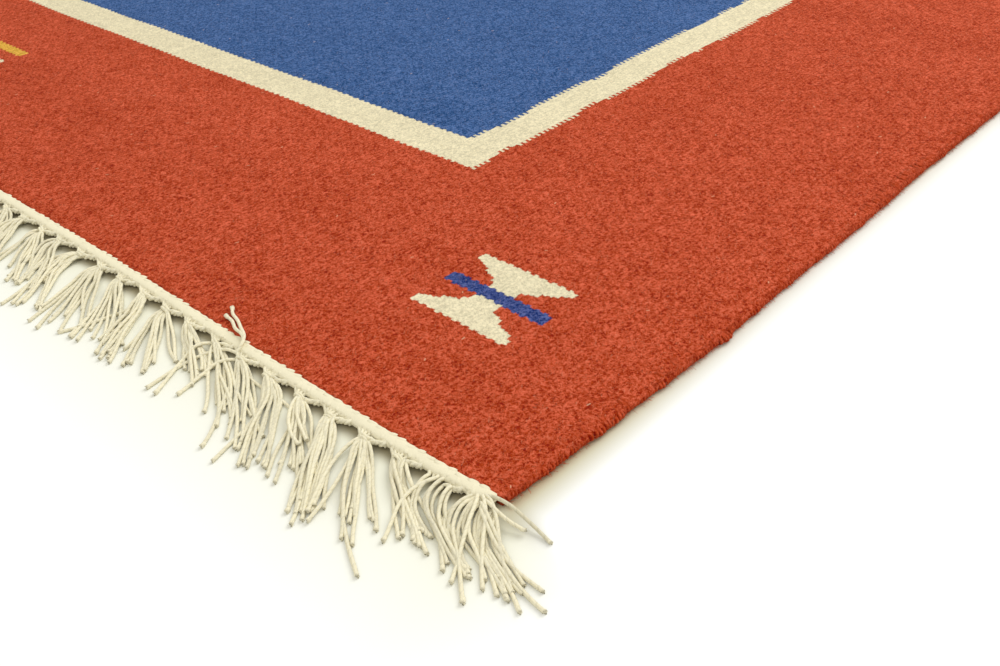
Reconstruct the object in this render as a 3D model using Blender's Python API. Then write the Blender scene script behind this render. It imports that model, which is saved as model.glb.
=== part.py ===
# A flat-woven kilim rug lying on a floor: one woven cloth and a knotted cotton fringe at each end.
# Metres, +Z up. The underside is on z = 0, the warps run along Y, and the selvedges face -X and +X.
# The back half is the front half turned half a turn about Z, so the rug's box is centred on its origin.

import math

import bmesh
import bpy

# Driving sizes of the cloth
RUG_WIDTH = 1.400
RUG_LENGTH = 2.000
CLOTH_THICK = 0.0045
SELVEDGE_STEPS = 60
END_STEPS = 44

# The section of a selvedge, from its foot to where the even cloth starts
SELVEDGE_SECTION = (
    # inset from the outline, height above the floor
    (0.0016, 0.0000),
    (0.0000, 0.0014),
    (0.0000, 0.0034),
    (0.0018, 0.0050),
    (0.0060, 0.0050),
    (0.0092, CLOTH_THICK),
)

# How the outline wanders, because each pick was beaten in by hand
SELVEDGE_WAVES = (
    # amplitude, wavelength, phase
    (0.0012, 0.88, 0.5),
    (0.0008, 0.39, 2.2),
    (0.0005, 0.16, 4.1),
)
END_WAVES = (
    # amplitude, wavelength, phase
    (0.0008, 0.74, 1.1),
    (0.0004, 0.31, 3.0),
)
CORNER_PULL = 0.0032
CORNER_REACH = 0.035
EVEN_CLOTH_EDGE = RUG_WIDTH / 2 - CORNER_PULL - SELVEDGE_SECTION[-1][0]

# Driving sizes of a fringe
PIECE_GAP = 0.0003
KNOTS = 62
KNOT_PITCH = RUG_WIDTH / KNOTS
KNOT_HALF_WIDTH = 0.0068
HEADING_DEPTH = 0.0058
KNOT_DEPTH = 0.0104
HEADING_THICK = 0.0036
KNOT_THICK = 0.0046

# How far each knot strays from its even place along the end
KNOT_STRAYS = (
    # amplitude, turn for each knot, phase
    (0.0009, 2.4, 0.0),
    (0.0006, 4.3, 1.0),
)

# The lean of the fringe towards +X, in degrees, and how it changes from knot to knot
LEAN = 40.0
LEAN_CHANGES = (
    # amplitude, turn for each knot, phase
    (5.0, 0.42, 0.8),
    (0.9, 1.90, 0.0),
)
CORNER_LEAN = 4.0
CORNER_KNOTS = 1.5
LOCK_SPREAD = 1.8

# A lock lies level on the floor from its knot to its tip
LOCK_LENGTH = 0.060
LOCK_LENGTH_CHANGE = 0.0045
LOCK_TURN = 2.1
LOCK_TOP = 0.55
LOCK_SECTIONS = (
    # share of the length, share of the lean reached there, width, thickness
    (0.13, 0.45, 0.0050, 0.0040),
    (0.38, 0.85, 0.0048, 0.0030),
    (0.70, 1.00, 0.0046, 0.0025),
    (1.00, 1.05, 0.0030, 0.0018),
)

WOOL_RED = (0.52, 0.085, 0.036, 1.0)
COTTON_CREAM = (0.78, 0.66, 0.42, 1.0)


def clear_scene():
    for old in list(bpy.data.objects):
        bpy.data.objects.remove(old, do_unlink=True)


def make_material(name, colour, roughness):
    material = bpy.data.materials.new(name)
    material.use_nodes = True
    shader = material.node_tree.nodes["Principled BSDF"]
    shader.inputs["Base Color"].default_value = colour
    shader.inputs["Roughness"].default_value = roughness
    shader.inputs["Metallic"].default_value = 0.0
    return material


def make_object(name, mesh_maker, material, half_turn=False):
    mesh = bpy.data.meshes.new(name)
    shape = bmesh.new()
    mesh_maker(shape)
    if half_turn:
        for vert in shape.verts:
            vert.co.x = -vert.co.x
            vert.co.y = -vert.co.y
    shape.to_mesh(mesh)
    shape.free()
    mesh.materials.append(material)
    piece = bpy.data.objects.new(name, mesh)
    bpy.context.scene.collection.objects.link(piece)
    return piece


def wander(waves, place):
    return sum(size * math.sin(math.tau * place / length + phase) for size, length, phase in waves)


def sway(changes, number):
    return sum(size * math.sin(turn * number + phase) for size, turn, phase in changes)


def corner_pull(distance):
    return CORNER_PULL * math.exp(-max(distance, 0.0) / CORNER_REACH)


def half_width(y):
    """The cloth's half width on the +X side, at y."""
    return RUG_WIDTH / 2 + wander(SELVEDGE_WAVES, y) - corner_pull(RUG_LENGTH / 2 - abs(y))


def half_length(x):
    """The cloth's half length on the -Y side, at x. The end is straight across each selvedge."""
    x = max(-EVEN_CLOTH_EDGE, min(EVEN_CLOTH_EDGE, x))
    return RUG_LENGTH / 2 + wander(END_WAVES, x) - corner_pull(RUG_WIDTH / 2 - abs(x))


def skin(shape, rings, closed=True, skip=()):
    """Joins each ring of points to the next, apart from the sides named in skip as (ring, side)."""
    for number, (here, there) in enumerate(zip(rings, rings[1:])):
        sides = len(here) if closed else len(here) - 1
        for side in range(sides):
            if (number, side) in skip:
                continue
            after = (side + 1) % len(here)
            shape.faces.new((here[side], there[side], there[after], here[after]))


def cloth_half(shape, turn):
    """One end and one selvedge of the cloth. turn is 1 for -Y and +X, and -1 for the half turned round."""
    end_ring = []
    for step in range(END_STEPS + 1):
        x = EVEN_CLOTH_EDGE * (2 * step / END_STEPS - 1)
        y = -half_length(x)
        foot = shape.verts.new((turn * x, turn * y, 0.0))
        top = shape.verts.new((turn * x, turn * y, CLOTH_THICK))
        end_ring.append((foot, top))

    first_y = -half_length(EVEN_CLOTH_EDGE)
    last_y = half_length(-EVEN_CLOTH_EDGE)
    selvedge = []
    for step in range(SELVEDGE_STEPS + 1):
        y = first_y + (last_y - first_y) * step / SELVEDGE_STEPS
        at_corner = step in (0, SELVEDGE_STEPS)
        x = RUG_WIDTH / 2 - CORNER_PULL if at_corner else half_width(y)
        section = SELVEDGE_SECTION[:-1] if at_corner else SELVEDGE_SECTION
        selvedge.append([shape.verts.new((turn * (x - inset), turn * y, height)) for inset, height in section])
    return end_ring, selvedge


def make_cloth(shape):
    halves = [cloth_half(shape, 1), cloth_half(shape, -1)]
    for number, (end_ring, selvedge) in enumerate(halves):
        next_end = halves[1 - number][0]
        selvedge[0].append(end_ring[-1][1])
        selvedge[-1].append(next_end[0][1])
        skin(shape, end_ring, closed=False)
        skin(shape, selvedge, closed=False)
        shape.faces.new([end_ring[-1][0]] + selvedge[0])
        shape.faces.new([next_end[0][0]] + selvedge[-1])

    top, bottom = [], []
    for end_ring, selvedge in halves:
        bottom += [foot for foot, _ in end_ring] + [section[0] for section in selvedge]
        top += [crown for _, crown in end_ring] + [section[-1] for section in selvedge[1:-1]]
    shape.faces.new(bottom)
    shape.faces.new(top)
    bmesh.ops.recalc_face_normals(shape, faces=shape.faces)


def knot_place(number):
    """The middle of a knot along the end."""
    return -RUG_WIDTH / 2 + (number + 0.5) * KNOT_PITCH + sway(KNOT_STRAYS, number)


def knot_lean(number):
    from_corner = KNOTS - 1 - number
    return LEAN + sway(LEAN_CHANGES, number) + CORNER_LEAN * math.exp(-from_corner / CORNER_KNOTS)


def lock_rings(shape, root, number, side):
    """The rings of one lock. side is -1 for a knot's left lock and 1 for its right one."""
    lean = knot_lean(number) + side * LOCK_SPREAD
    length = LOCK_LENGTH + LOCK_LENGTH_CHANGE * math.sin(LOCK_TURN * (2 * number + side))
    x = sum(vert.co.x for vert in root) / len(root)
    y = sum(vert.co.y for vert in root) / len(root)
    reached = 0.0
    rings = [root]
    for share, turned, width, thick in LOCK_SECTIONS:
        angle = math.radians(lean * turned)
        run = (share - reached) * length
        reached = share
        x += run * math.sin(angle)
        y -= run * math.cos(angle)
        across_x = math.cos(angle) * width / 2
        across_y = math.sin(angle) * width / 2
        rings.append([
            shape.verts.new((x - across_x, y - across_y, 0.0)),
            shape.verts.new((x + across_x, y + across_y, 0.0)),
            shape.verts.new((x + LOCK_TOP * across_x, y + LOCK_TOP * across_y, thick)),
            shape.verts.new((x - LOCK_TOP * across_x, y - LOCK_TOP * across_y, thick)),
        ])
    return rings


def make_fringe(shape):
    """The heading strip with its knots, and two locks out of each knot's front."""
    stations = []
    for number in range(KNOTS):
        middle = knot_place(number)
        stations.append((middle - KNOT_HALF_WIDTH, HEADING_DEPTH, HEADING_THICK))
        stations.append((middle, KNOT_DEPTH, KNOT_THICK))
        stations.append((middle + KNOT_HALF_WIDTH, HEADING_DEPTH, HEADING_THICK))

    # Each ring runs foot of the back, foot of the front, top of the front, top of the back
    rings = []
    for x, depth, thick in stations:
        back = -half_length(x) - PIECE_GAP
        rings.append([
            shape.verts.new((x, back, 0.0)),
            shape.verts.new((x, back - depth, 0.0)),
            shape.verts.new((x, back - depth, thick)),
            shape.verts.new((x, back, HEADING_THICK)),
        ])
    front_side = 1
    roots = {(3 * number + step, front_side) for number in range(KNOTS) for step in (0, 1)}
    skin(shape, rings, skip=roots)
    shape.faces.new(rings[0])
    shape.faces.new(rings[-1])

    for number in range(KNOTS):
        for step, side in ((0, -1), (1, 1)):
            left, right = rings[3 * number + step], rings[3 * number + step + 1]
            root = [left[1], right[1], right[2], left[2]]
            lock = lock_rings(shape, root, number, side)
            skin(shape, lock)
            shape.faces.new(lock[-1])
    bmesh.ops.recalc_face_normals(shape, faces=shape.faces)


def main():
    clear_scene()
    wool = make_material("wool", WOOL_RED, 0.92)
    cotton = make_material("cotton", COTTON_CREAM, 0.88)
    back_cotton = make_material("cotton_back", COTTON_CREAM, 0.88)
    make_object("cloth", make_cloth, wool)
    make_object("fringe_front", make_fringe, cotton)
    make_object("fringe_back", make_fringe, back_cotton, half_turn=True)


main()
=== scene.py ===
# %% [markdown]
# # A flat-woven kilim rug, dressed for its picture
# This lesson takes the plain solids of a kilim rug and gives them their finish: wool weave, rounded
# selvedges, a cotton heading and some thirteen hundred plied cords of fringe. Each step says what the
# real thing is, how it could be made in Blender, and why it is made this way here.

# %% Load the frame
import math
import random

import bpy
import numpy as np
from mathutils import Matrix, Vector


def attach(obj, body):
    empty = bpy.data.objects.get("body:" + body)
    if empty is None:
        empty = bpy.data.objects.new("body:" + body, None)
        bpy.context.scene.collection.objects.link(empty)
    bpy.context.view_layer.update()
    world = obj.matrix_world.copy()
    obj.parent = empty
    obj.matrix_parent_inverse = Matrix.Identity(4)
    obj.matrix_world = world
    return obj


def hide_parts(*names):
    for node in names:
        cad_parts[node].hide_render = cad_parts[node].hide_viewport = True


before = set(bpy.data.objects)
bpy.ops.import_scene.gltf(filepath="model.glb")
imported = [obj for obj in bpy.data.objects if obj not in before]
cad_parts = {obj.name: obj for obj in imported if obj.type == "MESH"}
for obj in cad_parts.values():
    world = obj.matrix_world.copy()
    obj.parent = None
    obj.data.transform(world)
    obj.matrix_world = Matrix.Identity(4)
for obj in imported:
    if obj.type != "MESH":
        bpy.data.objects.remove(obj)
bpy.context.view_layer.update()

# %% [markdown]
# ## The rug's own sizes
# A kilim is counted out before it is drawn. The warps stand 3 mm apart, each pass of the weft adds 2.2 mm,
# and every warp shows one bead of wool for each two passes. So the pattern is set out in millimetres first,
# and the weave rounds it to whole beads later. The outline's gentle waves repeat the ones that shape the
# solid cloth, because a selvedge has to follow the cloth that it edges.

# %% Driving sizes, in metres
RUG_WIDTH = 1.400
RUG_LENGTH = 2.000
CLOTH_THICK = 0.0045
WARP_PITCH = 0.0030
PICK_PITCH = 0.0022
BEAD_LENGTH = 2 * PICK_PITCH

SELVEDGE_WAVES = (
    # amplitude, wavelength, phase
    (0.0012, 0.88, 0.5),
    (0.0008, 0.39, 2.2),
    (0.0005, 0.16, 4.1),
)
END_WAVES = (
    # amplitude, wavelength, phase
    (0.0008, 0.74, 1.1),
    (0.0004, 0.31, 3.0),
)
CORNER_PULL = 0.0032
CORNER_REACH = 0.035
SELVEDGE_INSET = 0.0092
EVEN_CLOTH_EDGE = RUG_WIDTH / 2 - CORNER_PULL - SELVEDGE_INSET


def wander(waves, place):
    return sum(size * math.sin(math.tau * place / length + phase) for size, length, phase in waves)


def corner_pull(distance):
    return CORNER_PULL * math.exp(-max(distance, 0.0) / CORNER_REACH)


def half_width(y):
    """The half width of the +X side at y. The -X side is the same, turned half round."""
    return RUG_WIDTH / 2 + wander(SELVEDGE_WAVES, y) - corner_pull(RUG_LENGTH / 2 - abs(y))


def half_length(x):
    """The half length of the -Y end at x. The +Y end is the same, turned half round."""
    x = max(-EVEN_CLOTH_EDGE, min(EVEN_CLOTH_EDGE, x))
    return RUG_LENGTH / 2 + wander(END_WAVES, x) - corner_pull(RUG_WIDTH / 2 - abs(x))


CORNER = Vector((RUG_WIDTH / 2 - CORNER_PULL, -half_length(RUG_WIDTH), CLOTH_THICK))
print("the near corner is at", [round(v, 4) for v in CORNER])

# %% [markdown]
# ## Node trees written as sums
# Materials and Geometry Nodes are both graphs, and a graph of sums is hard to read as a list of links. A
# small class stands for one output socket, and Python's own operators on it add the Math nodes. So the
# shape of a bead can be written as one would write it on paper. Every other node comes from one method.


# %% A socket that can be reckoned with
class Wire:
    """One output socket of a tree. Plus, minus, times and so on add a Math node each."""

    def __init__(self, tree, socket):
        self.tree = tree
        self.socket = socket

    def math(self, operation, *terms):
        return self.tree.put("ShaderNodeMath", {"operation": operation}, dict(enumerate(terms)))

    def __add__(self, other):
        return self.math("ADD", self, other)

    __radd__ = __add__

    def __sub__(self, other):
        return self.math("SUBTRACT", self, other)

    def __rsub__(self, other):
        return self.math("SUBTRACT", other, self)

    def __mul__(self, other):
        return self.math("MULTIPLY", self, other)

    __rmul__ = __mul__

    def __truediv__(self, other):
        return self.math("DIVIDE", self, other)

    def __pow__(self, other):
        return self.math("POWER", self, other)

    def __lt__(self, other):
        return self.math("LESS_THAN", self, other)

    def __gt__(self, other):
        return self.math("GREATER_THAN", self, other)

    def __abs__(self):
        return self.math("ABSOLUTE", self)

    def floor(self):
        return self.math("FLOOR", self)

    def sine(self):
        return self.math("SINE", self)

    def least(self, other):
        return self.math("MINIMUM", self, other)

    def most(self, other):
        return self.math("MAXIMUM", self, other)

    def wrapped(self, size):
        return self.math("FLOORED_MODULO", self, size)

    def ease(self, low, high, start=0.0, end=1.0):
        """A smooth step from start to end as the value goes from low to high."""
        sockets = {"Value": self, "From Min": low, "From Max": high, "To Min": start, "To Max": end}
        return self.tree.put("ShaderNodeMapRange", {"interpolation_type": "SMOOTHSTEP"}, sockets)


class Tree:
    """A node tree that is being built."""

    def __init__(self, graph):
        self.graph = graph

    def node(self, kind, settings=None, inputs=None):
        """Adds any node: its settings first, then the values or links of its sockets."""
        made = self.graph.nodes.new(kind)
        for name, value in (settings or {}).items():
            setattr(made, name, value)
        for name, value in (inputs or {}).items():
            self.join(made.inputs[name], value)
        return made

    def join(self, socket, value):
        if isinstance(value, Wire):
            self.graph.links.new(value.socket, socket)
        else:
            socket.default_value = value

    def put(self, kind, settings=None, inputs=None, output=0):
        """The same, but it returns one of the node's outputs."""
        return Wire(self, self.node(kind, settings, inputs).outputs[output])

    def mix(self, mask, low, high):
        """Two colours mixed by a mask. A mask of 0 gives low, and 1 gives high."""
        inputs = {0: mask, 6: low, 7: high}
        return self.put("ShaderNodeMix", {"data_type": "RGBA"}, inputs, output=2)

    def tint(self, colour, amount):
        """A colour made lighter or darker by an amount, where 1 leaves it as it is."""
        shade = self.put("ShaderNodeCombineXYZ", None, {0: amount, 1: amount, 2: amount})
        inputs = {0: 1.0, 6: colour, 7: shade}
        return self.put("ShaderNodeMix", {"data_type": "RGBA", "blend_type": "MULTIPLY"}, inputs, output=2)

    def hazed(self, colour, amount, middle, haze):
        """A colour made lighter or darker. What is above the middle also turns paler, and the rest deeper."""
        shade = self.put("ShaderNodeCombineXYZ", None, {0: amount, 1: amount, 2: amount})
        pale = (amount - middle) * haze
        pale = self.put("ShaderNodeCombineXYZ", None, {0: pale, 1: pale, 2: pale})
        made = self.put("ShaderNodeVectorMath", {"operation": "MULTIPLY_ADD"}, {0: colour, 1: shade, 2: pale})
        least = (0.002, 0.002, 0.002)
        return self.put("ShaderNodeVectorMath", {"operation": "MAXIMUM"}, {0: made, 1: least})

    def point(self, x, y, z=0.0):
        return self.put("ShaderNodeCombineXYZ", None, {0: x, 1: y, 2: z})

    def noise(self, at, scale, detail=2.0, roughness=0.5, swirl=0.0):
        """Soft noise from 0 to 1, with its features 1/scale metres across."""
        sockets = {"Vector": at, "Scale": scale, "Detail": detail, "Roughness": roughness,
                   "Distortion": swirl}
        return self.put("ShaderNodeTexNoise", None, sockets)

    def chance(self, at):
        """An even random number from 0 to 1 for each whole place."""
        return self.put("ShaderNodeTexWhiteNoise", {"noise_dimensions": "3D"}, {"Vector": at})


def wool_or_cotton(name, roughness, sheen):
    """A new material with its shader and tree, ready for a pattern."""
    material = bpy.data.materials.new(name)
    material.use_nodes = True
    tree = Tree(material.node_tree)
    shader = material.node_tree.nodes["Principled BSDF"]
    shader.inputs["Roughness"].default_value = roughness
    shader.inputs["Specular IOR Level"].default_value = 0.08
    shader.inputs["Sheen Weight"].default_value = sheen
    shader.inputs["Sheen Roughness"].default_value = 0.5
    return material, tree, shader


def placed(name, data):
    """A new object in the scene."""
    thing = bpy.data.objects.new(name, data)
    bpy.context.scene.collection.objects.link(thing)
    return thing


def colour_of(red, green, blue):
    """A colour as it is seen on a screen, 0 to 255, turned into the light that it stands for."""
    def light(part):
        part = part / 255
        return part / 12.92 if part <= 0.04045 else ((part + 0.055) / 1.055) ** 2.4
    return (light(red), light(green), light(blue), 1.0)


# %% [markdown]
# ## The pattern, set out in metres
# The field is a plain blue inside a narrow cream stripe and a wide brick-red border. Small motifs stand
# in the border: a cream hourglass with a blue bar at each corner, and three bars, yellow and cream, between
# them. One formula in the folded quarter gives all ten, since the rug is the same from left to right and
# from end to end. An image would do it too, but a formula stays sharp at any distance. Along the stripe's
# long sides the two wools turn round one shared warp by turns, so each pass there makes a small tooth.

# %% Where the colours lie
FIELD_HALF = (0.4496, 0.7652)
STRIPE_HALF = (0.4803, 0.7960)
MOTIF_AT = (0.5912, 0.8931)
SIDE_MOTIF_AT = 0.2800
MOTIF_HALF_HEIGHT = 0.0285
MOTIF_HALF_WIDTH = 0.0335
MOTIF_RIM = 0.0045
MOTIF_WAIST = 0.0085
MOTIF_WAIST_HEIGHT = 0.0095
BAR_HALF_HEIGHT = 0.0044
BAR_HALF_WIDTH = 0.0345
OUTER_BARS = (0.0185, 0.0265)
OUTER_BAR_HALF_WIDTH = 0.0315
MIDDLE_BAR = (0.0055, 0.0290)

# How far the stripe strays from straight, and the noises that say where
DRIFT = 0.003
DRIFT_SCALE = 9.0
TOOTH = 0.0025
TOOTH_DRIFT = 0.0065
TOOTH_DRIFT_SCALE = 20.0

RED = colour_of(201, 80, 45)
BLUE = colour_of(64, 101, 158)
CREAM = colour_of(225, 215, 182)
BAR_BLUE = colour_of(66, 84, 148)
YELLOW = colour_of(224, 172, 64)
COTTON = colour_of(224, 217, 190)


def pattern(tree, x, y):
    """The wool's colour at x and y, which are the middle of a bead."""
    drift = (tree.noise(tree.point(x, y), DRIFT_SCALE, 1.0) - 0.5) * DRIFT
    across, along = abs(x), abs(y)
    turn = (y / PICK_PITCH + 0.25).floor() / 2
    teeth = (turn - turn.floor() - 0.25) * (2 * TOOTH)
    teeth = teeth + (tree.noise(tree.point(0.0, y), TOOTH_DRIFT_SCALE, 1.0) - 0.5) * TOOTH_DRIFT
    in_field = (across + drift + teeth < FIELD_HALF[0]) * (along + drift < FIELD_HALF[1])
    in_stripe = (across + drift + teeth < STRIPE_HALF[0]) * (along + drift < STRIPE_HALF[1])
    wool = tree.mix(in_field, tree.mix(in_stripe, RED, CREAM), BLUE)

    from_side = across.least(abs(across - MOTIF_AT[0]))
    from_end = abs(along - MOTIF_AT[1]).least(abs(along - SIDE_MOTIF_AT))
    border = 1 - in_stripe
    at_corner = (across > MOTIF_AT[0] / 2) * (along > (MOTIF_AT[1] + SIDE_MOTIF_AT) / 2) * border
    slope = (MOTIF_HALF_WIDTH - MOTIF_WAIST) / (MOTIF_HALF_HEIGHT - MOTIF_RIM - MOTIF_WAIST_HEIGHT)
    reach = ((from_end - MOTIF_WAIST_HEIGHT) * slope + MOTIF_WAIST).most(MOTIF_WAIST).least(MOTIF_HALF_WIDTH)
    glass = (from_side < reach) * (from_end < MOTIF_HALF_HEIGHT) * at_corner
    bar = (from_side < BAR_HALF_WIDTH) * (from_end < BAR_HALF_HEIGHT) * at_corner
    wool = tree.mix(bar, tree.mix(glass, wool, CREAM), BAR_BLUE)

    between = border * (1 - at_corner)
    outer = (from_end > OUTER_BARS[0]) * (from_end < OUTER_BARS[1]) * (from_side < OUTER_BAR_HALF_WIDTH)
    middle = (from_end < MIDDLE_BAR[0]) * (from_side < MIDDLE_BAR[1])
    return tree.mix(middle * between, tree.mix(outer * between, wool, YELLOW), CREAM)


# %% [markdown]
# ## The wool weave
# In a weft-faced weave the wool hides the warps. Over each warp it shows as a rib of small beads, and the
# next rib's beads sit half a step along. A million beads are too many to model, so they are a height in
# the material, which also picks each bead's colour from the pattern at its middle. That is what gives a
# kilim its toothed colour edges. Hand-spun wool is never even, so the places are first pushed about a
# little, each bead gets a shade of its own, and pale loose fibres lie over it all.

# %% The wool's material
FLECK_SQUARE = 0.013
FLECK_SHARE = 0.035
FLECK_HALF = (0.0009, 0.00030)
FLECK_COLOUR = colour_of(236, 205, 170)
HAIR_COLOUR = colour_of(255, 214, 176)
HAZE = 0.085
# Painted shade of the wool: its darkest in the hollows, its middle, and its lightest on the tops
PAINTED_HOLLOW_SHADE = (0.43, 0.80, 1.05)

# Noises that push the beads about, as scale and distance, and how much of it the dyed places follow
PUSH_X = ((210.0, 0.0046), (900.0, 0.0014))
PUSH_Y = ((240.0, 0.0060), (800.0, 0.0018))
DYED_PUSH = 0.45
BLUR_SCALE, BLUR = 2600.0, 0.0020

# What the fluff is made of, and how much each kind of unevenness lightens or darkens the wool
BEAD_FLUFF, CLUMP_FLUFF, TUFT_FLUFF, CURL_FLUFF, GRAIN_FLUFF, SUNK_FLUFF = 0.22, 1.40, 0.45, 0.34, 0.34, 0.82
BEAD_SHADE, BAND_SHADE, CLOUD_SHADE = 0.14, 0.20, 0.18
THROWN_BACK = 0.75
WISP, CURL_WISP, FLECK = 0.40, 0.35, 0.45
WOOL_BUMP, WOOL_BUMP_HEIGHT = 0.75, 0.0011


def wool_fibres(tree, x, y):
    """Fine hairs, as a pale streak from 0 to 1 and a soft grain about 0.5."""
    streaks = None
    for turn, shift in ((0.5, 0.0), (-0.9, 3.7), (1.9, 8.1)):
        along = x * math.cos(turn) + y * math.sin(turn)
        across = y * math.cos(turn) - x * math.sin(turn)
        strand = tree.noise(tree.point(along * 240, across * 1300, shift), 1.0, 2.0, 0.6)
        streaks = strand if streaks is None else streaks.most(strand)
    hair = streaks.ease(0.64, 0.76)
    grain = tree.noise(tree.point(x * 900, y * 1500 + x * 700, 5.0), 1.0, 2.0, 0.7)
    return hair, grain


def wool_curls(tree, x, y):
    """Thin curls of fibre, from 0 to 1. They lie where a soft noise passes through its middle."""
    curls = None
    for scale, shift in ((310.0, 0.0), (460.0, 2.3)):
        ground = tree.noise(tree.point(x, y, shift), scale, 1.0, 0.5, swirl=0.7)
        curl = 1 - (abs(ground - 0.5) * 15).least(1.0)
        curls = curl if curls is None else curls.most(curl)
    return curls


def flecks(tree, x, y):
    """Small pale specks of undyed wool, one in a few of the squares of a coarse grid."""
    square_x, square_y = (x / FLECK_SQUARE).floor(), (y / FLECK_SQUARE).floor()
    lot = tree.chance(tree.point(square_x, square_y, 7.0))
    shift = tree.chance(tree.point(square_x, square_y, 9.0)) - 0.5
    beside_x = x - (square_x + 0.5 + shift * 0.6) * FLECK_SQUARE
    beside_y = y - (square_y + 0.5 - shift * 0.6) * FLECK_SQUARE
    along = beside_x * shift * 1.6 + beside_y * 0.8
    across = beside_x * 0.8 - beside_y * shift * 1.6
    return (abs(along) < FLECK_HALF[0]) * (abs(across) < FLECK_HALF[1]) * (lot > 1 - FLECK_SHARE)


def pushes(tree, at, sizes):
    """How far a place is pushed, from noises given as (scale, distance)."""
    coarse, fine = [(tree.noise(at, scale, 2.0) - 0.5) * distance for scale, distance in sizes]
    return coarse + fine


def make_wool(name, woven):
    """Wool by its place in the rug. woven is False for the selvedge's yarn, which has its own shape."""
    material, tree, shader = wool_or_cotton(name, roughness=0.9, sheen=0.0)
    at = tree.put("ShaderNodeTexCoord", output=3)
    spot = tree.node("ShaderNodeSeparateXYZ", None, {0: at})
    x, y = Wire(tree, spot.outputs[0]), Wire(tree, spot.outputs[1])

    other = tree.point(x, y, 0.3)
    push_x = pushes(tree, at, PUSH_X)
    push_y = pushes(tree, other, PUSH_Y)
    column_place = (x + push_x) / WARP_PITCH
    column = column_place.floor()
    blur_x = (tree.noise(at, BLUR_SCALE, 1.0) - 0.5) * BLUR
    blur_y = (tree.noise(other, BLUR_SCALE, 1.0) - 0.5) * BLUR
    dyed_column = ((x + push_x * DYED_PUSH + blur_x) / WARP_PITCH).floor()
    dyed_pick = ((y + push_y * DYED_PUSH + blur_y) / PICK_PITCH + dyed_column.wrapped(2.0) * 0.5).floor()
    row_place = (y + push_y) / BEAD_LENGTH + column.wrapped(2.0) * 0.5
    row = row_place.floor()
    own = tree.chance(tree.point(column, row))
    across = (column_place - column - 0.5) * 2
    along = (row_place - row - 0.5) * 2 + across * (own - 0.35) * 0.7
    bead = (1 - (across * across) * 0.8) * (1 - (along * along).least(1.0) * 0.65)

    hair, grain = wool_fibres(tree, x, y)
    curls = wool_curls(tree, x, y)
    clump = tree.noise(at, 540.0, 5.0, 0.72, swirl=0.5)
    tuft = tree.noise(at, 170.0, 2.0, 0.6)
    fluff = bead * BEAD_FLUFF + clump * CLUMP_FLUFF + tuft * TUFT_FLUFF
    fluff = fluff + curls * CURL_FLUFF + grain * GRAIN_FLUFF - SUNK_FLUFF
    middle_x = (dyed_column + 0.5) * WARP_PITCH
    middle_y = (dyed_pick + 0.5 - dyed_column.wrapped(2.0) * 0.5) * PICK_PITCH
    colour = pattern(tree, middle_x, middle_y)
    bands = tree.noise(tree.point(x * 1.5, y * 16), 1.0, 3.0)
    clouds = tree.noise(at, 22.0, 3.0)
    shade = 1.0 + (own - 0.5) * BEAD_SHADE + (bands - 0.5) * BAND_SHADE + (clouds - 0.5) * CLOUD_SHADE
    # Painted shade: the wool is darker where it lies low, in the hollows between beads, clumps and grains,
    # and lighter on their tops.
    shade = shade * (fluff.ease(0.15, 0.85, PAINTED_HOLLOW_SHADE[0], PAINTED_HOLLOW_SHADE[2]) if woven
                     else (grain * 0.4 + clump * 0.6).ease(0.25, 0.75, PAINTED_HOLLOW_SHADE[0] + 0.08, PAINTED_HOLLOW_SHADE[2] - 0.04))

    if not woven:
        # Painted shade between the selvedge turns: darker on their sides, a little lighter on their crests.
        between = tree.put("ShaderNodeAttribute", {"attribute_name": "turn_side_shade"}, output=2)
        shade = shade * between.ease(0.08, 0.45, 1.04, 0.66)

    # Pale wool throws light back into its own pits, so it shows less of them
    green = Wire(tree, tree.node("ShaderNodeSeparateColor", None, {0: colour}).outputs[1])
    shade = shade + (1 - shade) * green * THROWN_BACK
    # The painted shade, with the beads' own random tones, also deepens the colour where it darkens and pales
    # it where it lightens.
    colour = tree.hazed(colour, shade, PAINTED_HOLLOW_SHADE[1], HAZE)
    wisp = hair.most(curls * clump.ease(0.48, 0.64) * CURL_WISP)
    colour = tree.mix(wisp * WISP, colour, tree.mix(WISP, colour, HAIR_COLOUR))
    colour = tree.mix(flecks(tree, x, y) * FLECK, colour, FLECK_COLOUR)
    tree.join(shader.inputs["Base Color"], colour)

    height = fluff + hair * 0.25 if woven else grain * 0.7 + clump * 0.6 + hair * 0.3
    height = height * (1 - green * THROWN_BACK)
    bump = tree.put("ShaderNodeBump", None, {
        "Strength": WOOL_BUMP, "Distance": WOOL_BUMP_HEIGHT, "Height": height})
    tree.join(shader.inputs["Normal"], bump)
    return material


WOOL = make_wool("wool_weave", woven=True)
WOOL_YARN = make_wool("wool_yarn", woven=False)
print("wool materials made")

# %% [markdown]
# ## The cloth
# The cloth is a closed sheet some four and a half millimetres thick, level below and very slightly uneven
# above, as hand-beaten cloth is. Each of its rings runs over the top, round one selvedge, back under and
# round the other, and the rings are skinned from end to end. The last rings close in, so that the cut
# ends turn down softly towards the heading.

# %% Make the cloth
TOP_COLUMNS = 120
CLOTH_RINGS = 250
SIDE_TURN = 6
UNDER_COLUMNS = 24
SHEET_INSET = 0.0015
EDGE_ROUND = 0.0022
END_ROUND = 0.0008
UNEVEN = 0.00035


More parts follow.
